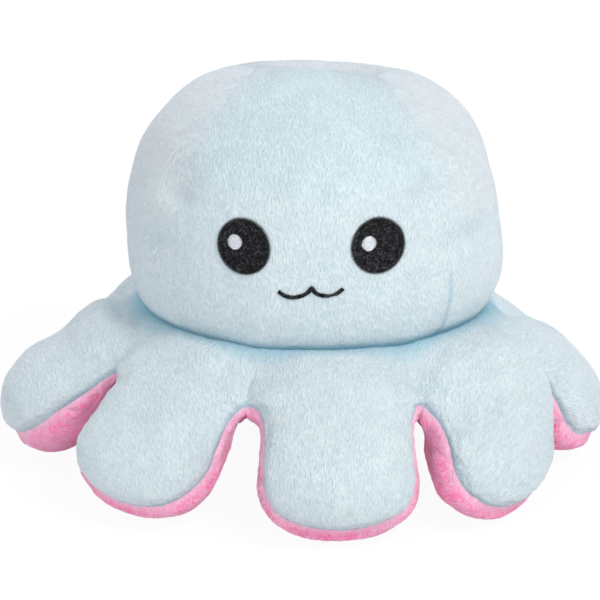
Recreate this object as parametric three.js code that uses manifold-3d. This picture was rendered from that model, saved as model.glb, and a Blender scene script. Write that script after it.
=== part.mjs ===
// Plush octopus that turns inside out: a round stuffed head over eight short stuffed arms,
// blue cloth outside, pink cloth underneath and in the pocket that runs up inside the head.
//
// Millimetres, +Z up. The origin is on the table under the middle of the toy, and the face
// looks along -Y. Arm 1 is the arm below the face, and the others follow anticlockwise seen
// from above. The ring of arms sits a little turned under the head.
import * as THREE from "three";
import Module from "manifold-3d";
import { mergeVertices } from "three/addons/utils/BufferGeometryUtils.js";

// Driving dimensions: cloth and thread
const clothThickness = 1.2;
const seatGap = 0.3;
const threadRadius = 0.5;

// Head
const headRadius = 63.3;
const headCrown = 57.5;
const headUndercut = 23.2;
const neckTuck = 13.3;
const neckRise = 14.5;
const goreTipRadius = 0.6;
const crownFullnessShare = 2.6;

// Pocket inside the head
const pocketRadius = 26;
const pocketDome = 22;
const pocketDepth = 68;
const pocketMouthHeight = 25;

// Skirt and arms
const armCount = 8;
const crotchRadius = 73;
const crotchGap = 2.6;
const hingeHeight = 35;
const rootHalfThickness = 13.5;
const tipHalfThickness = 17.5;
const armSideLength = 18;
const seamHalfThickness = 2.2;
const tipFullnessShare = 0.75;
const restCut = 0.5;
const crotchLift = 3.5;
const shoulderOut = 8;
const shoulderRise = 2.6;

// Embroidered face
const eyeWidth = 17.8;
const eyeHeight = 19;
const eyeSpacing = 44.6;
const eyeRise = 15.5;
const eyeThread = 1;
const highlightWidth = 5.3;
const highlightRise = 1.2;
const highlightShift = 2.9;
const highlightThread = 0.6;
const mouthWidth = 21;
const mouthRise = 2;
const mouthDrop = 2.4;
const mouthPeak = 1.3;
const mouthThreadRadius = 0.65;

// A cutting block reaches this far past what it cuts
const cutOverrun = 20;

// Angles
const degrees = THREE.MathUtils.degToRad;
const armTurn = degrees(6.6);
const armDroop = degrees(50);
const flexUp = degrees(30);
const flexDown = degrees(15);
const flexMargin = degrees(2);
const padHalfTurn = degrees(15);
const quarterTurn = Math.PI / 2;

// Steps of the faceted surfaces
const goreCount = 4;
const goreSteps = 6;
const crownSteps = 6;
const undercutSteps = 3;
const pocketDomeSteps = 3;
const threadSides = 8;
const sliceSteps = 6;
const socketSteps = 4;
const eyeSteps = 20;
const highlightSteps = 12;
const seamSteps = 48;

// Worked out from the sizes above
const threadSeat = threadRadius + seatGap;
const clothAndGap = clothThickness + seatGap;
const neckRadius = headRadius - neckTuck;
const neckHeight = hingeHeight + neckRise;
const headHem = neckHeight + threadSeat;
const widestHeight = headHem + headUndercut;
const halfPitch = Math.PI / armCount;
const hingeRadius = crotchRadius * Math.cos(halfPitch);
const crotchHalfSpan = crotchRadius * Math.sin(halfPitch);
const armHalfWidth = crotchHalfSpan - crotchGap;
const tipCentreHeight = tipHalfThickness * Math.cos(padHalfTurn) - restCut;
const tipCentreOut = (hingeHeight - tipCentreHeight) / Math.sin(armDroop);
const armLength = tipCentreOut + tipHalfThickness;
const socketRadius = rootHalfThickness + seatGap;
const socketTop = quarterTurn - armDroop + flexUp + flexMargin;
const socketBottom = 3 * quarterTurn - armDroop - flexDown - flexMargin;
const pocketWall = pocketRadius + clothAndGap;
const mouthRingRadius = pocketRadius + clothThickness / 2;

const blueCloth = { color: 0xcfe3ee, roughness: 0.95, metalness: 0 };
const pinkCloth = { color: 0xf0a5cc, roughness: 0.95, metalness: 0 };
const whiteFibre = { color: 0xf4f2ee, roughness: 1, metalness: 0 };
const blackThread = { color: 0x17171b, roughness: 0.6, metalness: 0 };
const whiteThread = { color: 0xf6f6f6, roughness: 0.6, metalness: 0 };
const blueThread = { color: 0x9fc3da, roughness: 0.8, metalness: 0 };
const pinkThread = { color: 0xd977ab, roughness: 0.8, metalness: 0 };

const octopus = new THREE.Group();
octopus.name = "plush_octopus";

function addPiece(name, geometry, finish) {
  const piece = new THREE.Mesh(geometry, new THREE.MeshStandardMaterial(finish));
  piece.name = name;
  octopus.add(piece);
  return piece;
}

// Point at a radius and height in the upright plane through the axis at an azimuth
function onPlane(radius, height, azimuth) {
  return new THREE.Vector3(radius * Math.cos(azimuth), radius * Math.sin(azimuth), height);
}

function signedVolume(points, faces) {
  let sum = 0;
  for (const [a, b, c] of faces) {
    sum += points[a].dot(new THREE.Vector3().crossVectors(points[b], points[c]));
  }
  return sum / 6;
}

function toGeometry(points, faces) {
  const outward = signedVolume(points, faces) > 0;
  const geometry = new THREE.BufferGeometry();
  const indices = faces.flatMap(([a, b, c]) => (outward ? [a, b, c] : [a, c, b]));
  geometry.setAttribute(
    "position",
    new THREE.Float32BufferAttribute(points.flatMap((p) => [p.x, p.y, p.z]), 3),
  );
  geometry.setIndex(indices);
  geometry.computeVertexNormals();
  return geometry;
}

// Skin of quads over rows of loops that all have the same number of points
function loftFaces(rows, count, ring) {
  const faces = [];
  const last = ring ? rows : rows - 1;
  for (let i = 0; i < last; i += 1) {
    const next = (i + 1) % rows;
    for (let j = 0; j < count; j += 1) {
      const k = (j + 1) % count;
      faces.push([i * count + j, i * count + k, next * count + j]);
      faces.push([i * count + k, next * count + k, next * count + j]);
    }
  }
  return faces;
}

// Closed solid through loops that go round and meet again
function ringSolid(loops) {
  return toGeometry(loops.flat(), loftFaces(loops.length, loops[0].length, true));
}

// Closed solid through loops, with a fan over the first and the last one
function cappedSolid(loops) {
  const count = loops[0].length;
  const points = loops.flat();
  const faces = loftFaces(loops.length, count, false);
  const lastRow = (loops.length - 1) * count;
  for (const [row, first] of [[0, true], [lastRow, false]]) {
    const centre = points.length;
    const middle = new THREE.Vector3();
    for (let j = 0; j < count; j += 1) middle.addScaledVector(points[row + j], 1 / count);
    points.push(middle);
    for (let j = 0; j < count; j += 1) {
      const k = (j + 1) % count;
      faces.push(first ? [row + k, row + j, centre] : [row + j, row + k, centre]);
    }
  }
  return toGeometry(points, faces);
}

// Closed sheet of cloth between an outer and an inner grid of points
function sheetSolid(outer, inner) {
  const width = outer[0].length;
  const count = 2 * width;
  const loops = outer.map((row, i) => [...row, ...inner[i].slice().reverse()]);
  const faces = loftFaces(loops.length, count, false);
  const lastRow = (loops.length - 1) * count;
  for (let j = 0; j < width - 1; j += 1) {
    const [a, b, c, d] = [j, j + 1, count - 2 - j, count - 1 - j];
    faces.push([b, a, c], [c, a, d]);
    faces.push([lastRow + a, lastRow + b, lastRow + c], [lastRow + a, lastRow + c, lastRow + d]);
  }
  return toGeometry(loops.flat(), faces);
}

// Ring of thread with a round section
function threadRing(radius, height) {
  const loops = [];
  for (let i = 0; i < seamSteps; i += 1) {
    const azimuth = (2 * Math.PI * i) / seamSteps;
    const loop = [];
    for (let j = 0; j < threadSides; j += 1) {
      const turn = (2 * Math.PI * j) / threadSides;
      const out = radius + threadRadius * Math.cos(turn);
      loop.push(onPlane(out, height + threadRadius * Math.sin(turn), azimuth));
    }
    loops.push(loop);
  }
  return ringSolid(loops);
}

// Head: each place on its upright outline, with the direction that points out of the cloth
function crownPlace(turn) {
  const power = 2 / crownFullnessShare;
  const [across, up] = [Math.cos(turn), Math.sin(turn)];
  const slope = new THREE.Vector2(across ** (2 - power) / headRadius, up ** (2 - power) / headCrown);
  return {
    radius: headRadius * across ** power,
    height: widestHeight + headCrown * up ** power,
    out: slope.normalize(),
  };
}

function undercutPlace(turn) {
  const [across, down] = [Math.cos(turn), Math.sin(turn)];
  const slope = new THREE.Vector2(across / neckTuck, -down / headUndercut);
  return {
    radius: neckRadius + neckTuck * across,
    height: widestHeight - headUndercut * down,
    out: slope.normalize(),
  };
}

function headOutline() {
  const tipTurn = crownTurnAt(2 * goreTipRadius);
  const places = [];
  for (let i = 0; i <= crownSteps; i += 1) {
    places.push(crownPlace(tipTurn * (1 - i / crownSteps)));
  }
  for (let i = 1; i <= undercutSteps; i += 1) {
    places.push(undercutPlace((quarterTurn * i) / undercutSteps));
  }
  return places;
}

// The turn of the crown's outline at which it is a given distance from the axis
function crownTurnAt(radius) {
  return Math.acos((radius / headRadius) ** (crownFullnessShare / 2));
}

function pushed(place, distance) {
  return {
    radius: place.radius + place.out.x * distance,
    height: place.height + place.out.y * distance,
    out: place.out,
  };
}

// Point on the head at an azimuth and a height on the crown, lifted off the cloth
function onHead(azimuth, height, lift) {
  const up = Math.max((height - widestHeight) / headCrown, 0);
  const place = pushed(crownPlace(Math.asin(up ** (crownFullnessShare / 2))), lift);
  return onPlane(place.radius, place.height, azimuth);
}

// One row of points across a gore, which stays half a gap clear of its two seams
function goreRow(place, middle) {
  const half = Math.PI / goreCount - Math.asin(seatGap / 2 / place.radius);
  const row = [];
  for (let j = 0; j <= goreSteps; j += 1) {
    row.push(onPlane(place.radius, place.height, middle + half * ((2 * j) / goreSteps - 1)));
  }
  return row;
}

function goreSolid(places, thickness, middle) {
  const outer = places.map((place) => goreRow(place, middle));
  const inner = places.map((place) => {
    const under = pushed(place, thickness);
    under.radius = Math.max(under.radius, goreTipRadius);
    return goreRow(under, middle);
  });
  return sheetSolid(outer, inner);
}

// Pocket: the lining's inner face, with the direction that points into the filling
const pocketTop = pocketMouthHeight + pocketDepth;
const pocketShoulder = pocketTop - pocketDome;
const liningHem = pocketMouthHeight + threadSeat;

function pocketOutline() {
  const tipTurn = Math.acos(goreTipRadius / pocketRadius);
  const places = [];
  for (let i = 0; i <= pocketDomeSteps; i += 1) {
    const turn = tipTurn * (1 - i / pocketDomeSteps);
    const slope = new THREE.Vector2(Math.cos(turn) / pocketRadius, Math.sin(turn) / pocketDome);
    places.push({
      radius: pocketRadius * Math.cos(turn),
      height: pocketShoulder + pocketDome * Math.sin(turn),
      out: slope.normalize(),
    });
  }
  places.push({ radius: pocketRadius, height: liningHem, out: new THREE.Vector2(1, 0) });
  return places;
}

const goreNames = ["front", "right", "back", "left"];

goreNames.forEach((side, i) => {
  const middle = i * quarterTurn - quarterTurn;
  const gore = goreSolid(headOutline(), -clothThickness, middle);
  addPiece(`head_gore_${side}`, gore, blueCloth);
});

goreNames.forEach((side, i) => {
  const middle = i * quarterTurn - quarterTurn;
  const gore = goreSolid(pocketOutline(), clothThickness, middle);
  addPiece(`lining_gore_${side}`, gore, pinkCloth);
});

// Head filling: between the head's cloth and the lining, standing on the skirt's filling
function headFilling() {
  const outside = headOutline().map((place) => pushed(place, -clothAndGap));
  const inside = pocketOutline().map((place) => pushed(place, clothAndGap));
  const floor = neckHeight + seatGap / 2;
  inside.at(-1).height = floor;
  const seat = { radius: neckRadius - threadSeat, height: outside.at(-1).height };
  const foot = { radius: neckRadius - threadSeat, height: floor };
  const section = [...outside.slice(1), seat, foot, ...inside.slice(1).reverse()];
  const points = [
    new THREE.Vector3(0, 0, outside[0].height),
    new THREE.Vector3(0, 0, inside[0].height),
  ];
  const count = section.length;
  const rows = goreCount * goreSteps;
  const faces = [];
  for (let i = 0; i < rows; i += 1) {
    const azimuth = (2 * Math.PI * i) / rows + Math.PI / goreCount;
    for (const place of section) points.push(onPlane(place.radius, place.height, azimuth));
    const here = 2 + i * count;
    const next = 2 + ((i + 1) % rows) * count;
    for (let j = 0; j < count - 1; j += 1) {
      faces.push([here + j, here + j + 1, next + j]);
      faces.push([here + j + 1, next + j + 1, next + j]);
    }
    faces.push([0, here, next]);
    faces.push([1, next + count - 1, here + count - 1]);
  }
  return toGeometry(points, faces);
}

addPiece("head_filling", headFilling(), whiteFibre);

// Directions of an arm: outwards, and along the line that it bends on
function armAzimuth(arm) {
  return 2 * halfPitch * arm - quarterTurn + armTurn;
}

function across(azimuth, sideways) {
  const base = onPlane(hingeRadius, hingeHeight, azimuth);
  const along = new THREE.Vector3(-Math.sin(azimuth), Math.cos(azimuth), 0);
  return base.addScaledVector(along, sideways);
}

// Stations round the skirt, sliceSteps to an arm, with a shared one at every notch
function skirtStations() {
  const stations = [];
  for (let arm = 0; arm < armCount; arm += 1) {
    const azimuth = armAzimuth(arm);
    for (let i = 0; i < sliceSteps; i += 1) {
      const turn = Math.PI * (i / sliceSteps) - quarterTurn;
      const hinge = across(azimuth, crotchHalfSpan * Math.sin(turn));
      if (i === 0) hinge.z += crotchLift;
      const inward = Math.atan2(hinge.y, hinge.x);
      const swell = seamHalfThickness + (socketRadius - seamHalfThickness) * Math.cos(turn);
      stations.push({ hinge, inward, facing: i === 0 ? inward : azimuth, swell });
    }
  }
  return stations;
}

function aroundHinge(station, distance, turn) {
  const offset = onPlane(distance * Math.cos(turn), distance * Math.sin(turn), station.facing);
  return offset.add(station.hinge);
}

const shoulderRadius = neckRadius + shoulderOut;
const skirtHem = neckHeight - threadSeat;

function skirtTop() {
  return ringSolid(skirtStations().map((s) => [
    onPlane(neckRadius, skirtHem - clothThickness, s.inward),
    onPlane(shoulderRadius, neckHeight + shoulderRise - clothThickness, s.inward),
    aroundHinge(s, s.swell + seatGap, socketTop),
    aroundHinge(s, s.swell + clothAndGap, socketTop),
    onPlane(shoulderRadius, neckHeight + shoulderRise, s.inward),
    onPlane(neckRadius, skirtHem, s.inward),
  ]));
}

const underBottom = pocketMouthHeight - clothThickness / 2;
const underStart = mouthRingRadius + threadSeat;

function skirtUnder() {
  return ringSolid(skirtStations().map((s) => [
    aroundHinge(s, s.swell + seatGap, socketBottom),
    onPlane(underStart, underBottom + clothThickness, s.inward),
    onPlane(underStart, underBottom, s.inward),
    aroundHinge(s, s.swell + clothAndGap, socketBottom),
  ]));
}

function skirtFilling() {
  const step = (socketBottom - socketTop) / socketSteps;
  const chordEase = 1 / Math.cos(step / 2);
  return ringSolid(skirtStations().map((s) => {
    const loop = [
      onPlane(pocketWall, neckHeight - seatGap / 2, s.inward),
      onPlane(neckRadius - threadSeat, neckHeight - seatGap / 2, s.inward),
      onPlane(neckRadius - threadSeat, skirtHem - clothAndGap - seatGap, s.inward),
      onPlane(shoulderRadius, neckHeight + shoulderRise - clothAndGap, s.inward),
    ];
    for (let j = 0; j <= socketSteps; j += 1) {
      const ease = j === 0 || j === socketSteps ? 1 : chordEase;
      loop.push(aroundHinge(s, s.swell * ease, socketTop + step * j));
    }
    loop.push(onPlane(pocketWall, underBottom + clothAndGap, s.inward));
    return loop;
  }));
}

addPiece("skirt_top", skirtTop(), blueCloth);
addPiece("skirt_under", skirtUnder(), pinkCloth);
addPiece("skirt_filling", skirtFilling(), whiteFibre);
addPiece("neck_seam", threadRing(neckRadius, neckHeight), blueThread);
addPiece("pocket_seam", threadRing(mouthRingRadius, pocketMouthHeight), pinkThread);

// Arm: upright slices side by side. In a slice, the root is an arc round the hinge line and the
// tip an arc round a centre further out, and both thin out towards the arm's two edges.
function armSlice(arm, turn, inset) {
  const azimuth = armAzimuth(arm);
  const rootShare = Math.cos(turn);
  const tipShare = Math.abs(rootShare) ** tipFullnessShare;
  const grown = (edge, middle, share) => edge + (middle - edge) * share - inset;
  const reach = grown(armSideLength, armLength, tipShare);
  const tip = grown(seamHalfThickness, tipHalfThickness, tipShare);
  return {
    hinge: across(azimuth, (armHalfWidth - inset) * Math.sin(turn)),
    facing: azimuth,
    root: grown(seamHalfThickness, rootHalfThickness, rootShare),
    tip,
    out: reach - tip,
  };
}

function rootPoint(slice, turn) {
  return aroundHinge(slice, slice.root, turn - armDroop);
}

function tipPoint(slice, turn) {
  const offset = onPlane(
    slice.out * Math.cos(armDroop) + slice.tip * Math.cos(turn - armDroop),
    slice.tip * Math.sin(turn - armDroop) - slice.out * Math.sin(armDroop),
    slice.facing,
  );
  return offset.add(slice.hinge);
}

// The turns are counted from the way that the arm points, and the pad is the facet between
// the two turns on either side of straight down.
const downTurn = armDroop - quarterTurn;
const topRootTurns = [degrees(140), degrees(115), quarterTurn];
const topTipTurns = [quarterTurn, degrees(60), degrees(30)];
const underTipTurns = [downTurn + padHalfTurn, downTurn - padHalfTurn, -quarterTurn];
const underRootTurns = [-quarterTurn, degrees(-115)];
const fillingRootTurns = [90, 115, 140, 165, 205, 245, 270].map(degrees);

function sliceTurns() {
  const turns = [];
  for (let i = 0; i <= sliceSteps; i += 1) turns.push(Math.PI * (i / sliceSteps) - quarterTurn);
  return turns;
}

// The seam runs round the arm's edge, and each cloth stops half a gap short of it
function seamPoint(slice, side) {
  const lift = Math.asin(seatGap / 2 / slice.tip);
  return tipPoint(slice, side * lift);
}

function armCloth(arm, rowOf) {
  const grid = (inset) => sliceTurns().map((turn) => rowOf(armSlice(arm, turn, inset)));
  return sheetSolid(grid(0), grid(clothThickness));
}

function armTop(arm) {
  return armCloth(arm, (slice) => [
    ...topRootTurns.map((turn) => rootPoint(slice, turn)),
    ...topTipTurns.map((turn) => tipPoint(slice, turn)),
    seamPoint(slice, 1),
  ]);
}

function armUnder(arm) {
  return armCloth(arm, (slice) => [
    seamPoint(slice, -1),
    ...underTipTurns.map((turn) => tipPoint(slice, turn)),
    ...underRootTurns.map((turn) => rootPoint(slice, turn)),
  ]);
}

function armFilling(arm) {
  return cappedSolid(sliceTurns().map((turn) => {
    const slice = armSlice(arm, turn, clothAndGap);
    return [
      tipPoint(slice, 0),
      ...topTipTurns.slice().reverse().map((t) => tipPoint(slice, t)),
      ...fillingRootTurns.map((t) => rootPoint(slice, t)),
      ...underTipTurns.slice().reverse().map((t) => tipPoint(slice, t)),
    ];
  }));
}

// Cuts away what reaches below the table, so that the toy stands on small flats
const wasm = await Module();
wasm.setup();

function toManifold(geometry) {
  const bare = geometry.clone();
  bare.deleteAttribute("normal");
  bare.deleteAttribute("uv");
  const merged = mergeVertices(bare);
  return new wasm.Manifold(new wasm.Mesh({
    numProp: 3,
    vertProperties: new Float32Array(merged.attributes.position.array),
    triVerts: new Uint32Array(merged.index.array),
  }));
}

function fromManifold(solid) {
  const mesh = solid.getMesh();
  const geometry = new THREE.BufferGeometry();
  geometry.setAttribute("position", new THREE.Float32BufferAttribute(mesh.vertProperties, 3));
  geometry.setIndex(new THREE.Uint32BufferAttribute(mesh.triVerts, 1));
  geometry.computeVertexNormals();
  return geometry;
}

function cutAtTable(geometry) {
  const side = 2 * (hingeRadius + armLength + cutOverrun);
  const block = new THREE.BoxGeometry(side, side, cutOverrun);
  block.translate(0, 0, -cutOverrun / 2);
  return fromManifold(toManifold(geometry).subtract(toManifold(block)));
}

for (let arm = 0; arm < armCount; arm += 1) {
  const name = `arm_${arm + 1}`;
  addPiece(`${name}_top`, armTop(arm), blueCloth);
  addPiece(`${name}_under`, cutAtTable(armUnder(arm)), pinkCloth);
  addPiece(`${name}_filling`, armFilling(arm), whiteFibre);
}

// Embroidery: a round patch that follows the front of the head
function patch(azimuth, level, width, height, lift, thickness, steps) {
  const ring = (share, rise) => {
    const points = [];
    for (let i = 0; i < steps; i += 1) {
      const turn = (2 * Math.PI * i) / steps;
      const sideways = (share * width * Math.cos(turn)) / 2;
      const up = (share * height * Math.sin(turn)) / 2;
      points.push(onHead(azimuth + sideways / headRadius, level + up, rise));
    }
    return points;
  };
  return cappedSolid([ring(0.5, lift), ring(1, lift), ring(1, lift + thickness),
    ring(0.5, lift + thickness)]);
}

const eyeAzimuth = eyeSpacing / 2 / headRadius;
const eyeLevel = widestHeight + eyeRise;
const mouthLevel = widestHeight + mouthRise;

[["left", -1], ["right", 1]].forEach(([side, way]) => {
  const azimuth = way * eyeAzimuth - quarterTurn;
  const eye = patch(azimuth, eyeLevel, eyeWidth, eyeHeight, seatGap, eyeThread, eyeSteps);
  addPiece(`${side}_eye`, eye, blackThread);
  const lift = seatGap + eyeThread + seatGap;
  const shine = patch(azimuth - highlightShift / headRadius, eyeLevel + highlightRise,
    highlightWidth, highlightWidth, lift, highlightThread, highlightSteps);
  addPiece(`${side}_highlight`, shine, whiteThread);
});

// The mouth is a soft w: two troughs that meet in a small sharp peak
const mouthShares = [[-1, 0], [-0.8, 0.55], [-0.45, 1], [-0.2, 0.6], [0, -1],
  [0.2, 0.6], [0.45, 1], [0.8, 0.55], [1, 0]];

function mouthCurve() {
  return new THREE.CatmullRomCurve3(mouthShares.map(([sideways, down]) => {
    const drop = down < 0 ? down * mouthPeak : down * mouthDrop;
    const azimuth = (sideways * mouthWidth) / 2 / headRadius - quarterTurn;
    return onHead(azimuth, mouthLevel - drop, seatGap + mouthThreadRadius);
  }));
}

const threadSection = new THREE.Shape(
  new THREE.EllipseCurve(0, 0, mouthThreadRadius, mouthThreadRadius).getPoints(threadSides),
);
addPiece("mouth", new THREE.ExtrudeGeometry(threadSection, {
  steps: seamSteps,
  bevelEnabled: false,
  extrudePath: mouthCurve(),
}), blackThread);

export default octopus;
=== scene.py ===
# %% [markdown]
# # A plush octopus that turns inside out
# The toy is made of flat pieces of short pile cloth, sewn edge to edge and stuffed with fibre.
# The outside is pale blue, and the underside and the pocket inside the head are pink. Every
# length in the helpers below is in millimetres, because that is how a pattern maker thinks.
# Only the last step of each piece turns them into the metres that Blender wants.

# %% Load the measured model, and keep its box
import math
import time
import bmesh
import bpy
import numpy as np
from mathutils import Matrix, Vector
from mathutils.bvhtree import BVHTree
from mathutils.kdtree import KDTree


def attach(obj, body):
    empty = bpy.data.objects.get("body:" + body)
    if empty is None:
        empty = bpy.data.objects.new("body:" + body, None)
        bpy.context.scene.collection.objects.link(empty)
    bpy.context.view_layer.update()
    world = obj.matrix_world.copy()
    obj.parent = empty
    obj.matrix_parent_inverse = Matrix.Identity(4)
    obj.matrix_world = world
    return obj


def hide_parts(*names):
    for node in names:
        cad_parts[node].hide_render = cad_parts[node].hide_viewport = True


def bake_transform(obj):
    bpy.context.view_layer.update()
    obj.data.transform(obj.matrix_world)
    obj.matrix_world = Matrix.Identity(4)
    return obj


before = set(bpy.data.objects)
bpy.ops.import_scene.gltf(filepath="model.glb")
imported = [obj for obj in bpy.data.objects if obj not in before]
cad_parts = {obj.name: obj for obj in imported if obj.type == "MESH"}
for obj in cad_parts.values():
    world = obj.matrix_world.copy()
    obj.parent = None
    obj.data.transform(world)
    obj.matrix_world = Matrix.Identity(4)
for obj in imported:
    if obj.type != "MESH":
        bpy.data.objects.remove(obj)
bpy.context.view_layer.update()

MM = 0.001
DEG = math.pi / 180

# %% [markdown]
# ## Camera
# The toy was photographed from a little above, with a long lens, so the arms hardly grow towards
# the camera. A lens of 234 mm at 1.3 m gives that view. The camera could be shifted to place the
# toy in the picture, but it is simply turned a little instead, which other views can undo.

# %% Camera at the photo's angle
LENS, DISTANCE, ELEVATION, SWING = 234.0, 1.3, 20 * DEG, 1.6 * DEG
ORIGIN_IN_PHOTO = (316.0, 447.0)          # where the point under the toy's middle falls, of 600
PIXELS = LENS / 36 * 600

eye_point = DISTANCE * Vector((math.sin(SWING) * math.cos(ELEVATION),
                               -math.cos(SWING) * math.cos(ELEVATION), math.sin(ELEVATION)))
ahead = -eye_point.normalized()
right = ahead.cross(Vector((0, 0, 1))).normalized()
upward = right.cross(ahead)
aim = ahead + right * (300 - ORIGIN_IN_PHOTO[0]) / PIXELS - upward * (300 - ORIGIN_IN_PHOTO[1]) / PIXELS
camera = bpy.data.objects.new("camera", bpy.data.cameras.new("camera"))
bpy.context.scene.collection.objects.link(camera)
camera.data.lens, camera.data.sensor_width = LENS, 36
camera.data.clip_start, camera.data.clip_end = 0.05, 20
camera.location = eye_point
camera.rotation_euler = aim.to_track_quat("-Z", "Y").to_euler()
bpy.context.scene.camera = camera
print("camera at", tuple(round(v, 3) for v in eye_point))

# %% [markdown]
# ## Light, floor and background
# Pale plush is easily burnt out. Large soft lamps and a dim world light it at a plain level, so a
# colour comes out as it is written. The white background is only what the camera sees behind the
# toy: the world is white for camera rays and dim for all others, and the floor is mixed the same
# way, so that it still catches a soft shadow.

# %% Helpers for node trees and objects
def new_tree(owner):
    """The emptied node tree of a material or of the world."""
    owner.use_nodes = True
    owner.node_tree.nodes.clear()
    return owner.node_tree


def add(tree, kind, inputs=None, **settings):
    """Adds a node, sets its properties, and fills or links its inputs."""
    node = tree.nodes.new(kind)
    for name, value in settings.items():
        setattr(node, name, value)
    for name, value in (inputs or {}).items():
        socket = node.inputs[name]
        if isinstance(value, bpy.types.NodeSocket):
            tree.links.new(value, socket)
        else:
            socket.default_value = value
    return node


def math_node(tree, operation, a, b=0.0):
    return add(tree, "ShaderNodeMath", {0: a, 1: b}, operation=operation).outputs[0]


def mix_colours(tree, share, a, b, **settings):
    """Colour a where the share is 0, colour b where it is 1."""
    return add(tree, "ShaderNodeMix", {0: share, 6: a, 7: b}, data_type="RGBA", **settings).outputs[2]


def new_object(bm, name):
    """Ends a bmesh and puts it in the scene as an object."""
    mesh = bpy.data.meshes.new(name)
    bm.to_mesh(mesh)
    bm.free()
    obj = bpy.data.objects.new(name, mesh)
    scene.collection.objects.link(obj)
    return obj


def seen_by_camera(tree):
    """1 for rays that show the background to the eye, straight, by reflection or through glass."""
    path = add(tree, "ShaderNodeLightPath").outputs
    either = math_node(tree, "MAXIMUM", path["Is Camera Ray"], path["Is Glossy Ray"])
    return math_node(tree, "MAXIMUM", either, path["Is Transmission Ray"])


# %% World
scene = bpy.context.scene
scene.view_settings.view_transform = "Standard"
world = bpy.data.worlds.new("studio")
scene.world = world
tree = new_tree(world)
dim = add(tree, "ShaderNodeBackground", {"Color": (0.93, 0.96, 1.0, 1), "Strength": 0.60})
white = add(tree, "ShaderNodeBackground", {"Color": (1, 1, 1, 1), "Strength": 1.0})
mixed = add(tree, "ShaderNodeMixShader", {0: seen_by_camera(tree), 1: dim.outputs[0], 2: white.outputs[0]})
add(tree, "ShaderNodeOutputWorld", {"Surface": mixed.outputs[0]})

# %% Floor
bm = bmesh.new()
bmesh.ops.create_grid(bm, x_segments=2, y_segments=2, size=3.0)
bmesh.ops.translate(bm, verts=bm.verts, vec=(0, 0, -0.0004))
floor = new_object(bm, "floor")
paper = bpy.data.materials.new("white_paper")
tree = new_tree(paper)
place = add(tree, "ShaderNodeTexCoord").outputs["Object"]
fibres = add(tree, "ShaderNodeTexNoise", {"Vector": place, "Scale": 900.0}).outputs["Fac"]
tone = mix_colours(tree, fibres, (0.94, 0.94, 0.94, 1), (0.96, 0.96, 0.96, 1))
matt = add(tree, "ShaderNodeBsdfDiffuse", {"Color": tone, "Roughness": 1.0})
glow = add(tree, "ShaderNodeEmission", {"Color": (1, 1, 1, 1), "Strength": 1.0})
share = math_node(tree, "MULTIPLY", seen_by_camera(tree), 0.94)
mixed = add(tree, "ShaderNodeMixShader", {0: share, 1: matt.outputs[0], 2: glow.outputs[0]})
add(tree, "ShaderNodeOutputMaterial", {"Surface": mixed.outputs[0]})
floor.data.materials.append(paper)


# %% Lamps
def lamp(name, place, size, power, tint):
    """A square soft lamp that looks at the toy's middle."""
    data = bpy.data.lights.new(name, "AREA")
    data.size, data.energy, data.color = size, power, tint
    obj = bpy.data.objects.new(name, data)
    scene.collection.objects.link(obj)
    obj.location = place
    obj.visible_camera = False
    obj.rotation_euler = (Vector((0, 0, 0.06)) - Vector(place)).to_track_quat("-Z", "Y").to_euler()


lamp("key", (0.80, -0.85, 1.25), 0.7, 13.4, (1.0, 0.99, 0.97))
lamp("fill", (-0.9, -0.9, 0.20), 0.8, 2.4, (0.98, 0.99, 1.0))
lamp("low front", (0.62, -1.25, 0.14), 0.8, 3.2, (1.0, 0.99, 0.98))
lamp("rim", (-0.2, 1.0, 0.9), 0.8, 6.5, (1.0, 0.97, 1.0))

# %% [markdown]
# ## Numbers with no straight line in them
# Nothing on a soft toy is straight, so the helpers here are a smooth step, a repeatable noise for
# lumps and puckers, and a spline that passes through a few stations of each slice of a cloth piece.
# The noise is worked out from whole numbers alone, so each run makes the same toy. Cloth is measured
# along itself, as a tape would measure it, so one helper adds up the steps along a line.

# %% Smooth step, noise and spline
def smooth(t):
    t = np.clip(t, 0, 1)
    return t * t * (3 - 2 * t)


def around(angle):
    """The same angle, between minus half a turn and half a turn."""
    return (angle + math.pi) % (2 * math.pi) - math.pi


def rotated(a, b, angle):
    return a * np.cos(angle) - b * np.sin(angle), a * np.sin(angle) + b * np.cos(angle)


def polar(p):
    """How far each point is from the toy's upright axis, and the way it lies from it."""
    return np.hypot(p[:, 0], p[:, 1]), np.arctan2(p[:, 1], p[:, 0])


def from_polar(r, az, z):
    return np.stack([r * np.cos(az), r * np.sin(az), z], -1)


def hill(x, wide):
    """A round hill: 1 where x is 0, and next to nothing from twice its width outwards."""
    return np.exp(-(x / wide) ** 2)


def travelled(p, axis=0):
    """The length walked along the points of that axis, from 0 at the first."""
    steps = np.linalg.norm(np.diff(p, axis=axis), axis=-1)
    zero = np.zeros_like(np.take(steps, [0], axis=axis))
    return np.concatenate([zero, np.cumsum(steps, axis=axis)], axis=axis)


def noise(points, size, seed):
    """Soft random height between -1 and 1 at each point, with bumps about size across."""
    q = np.asarray(points, float) / size + 57.3 + 13.7 * seed
    cell = np.floor(q).astype(np.int64)
    f = q - cell
    f = f * f * f * (f * (f * 6 - 15) + 10)
    total = np.zeros(len(q))
    for corner in range(8):
        step = np.array([corner & 1, corner >> 1 & 1, corner >> 2 & 1])
        n = cell + step
        h = (n[:, 0] * 73856093 ^ n[:, 1] * 19349663 ^ n[:, 2] * 83492791 ^ seed * 2654435761) & 0xFFFFFFFF
        h = (h ^ h >> 15) * 2246822519 & 0xFFFFFFFF
        h = (h ^ h >> 13) * 3266489917 & 0xFFFFFFFF
        value = (h ^ h >> 16) / 0xFFFFFFFF * 2 - 1
        total += value * np.prod(np.where(step == 1, f, 1 - f), axis=1)
    return total


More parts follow.
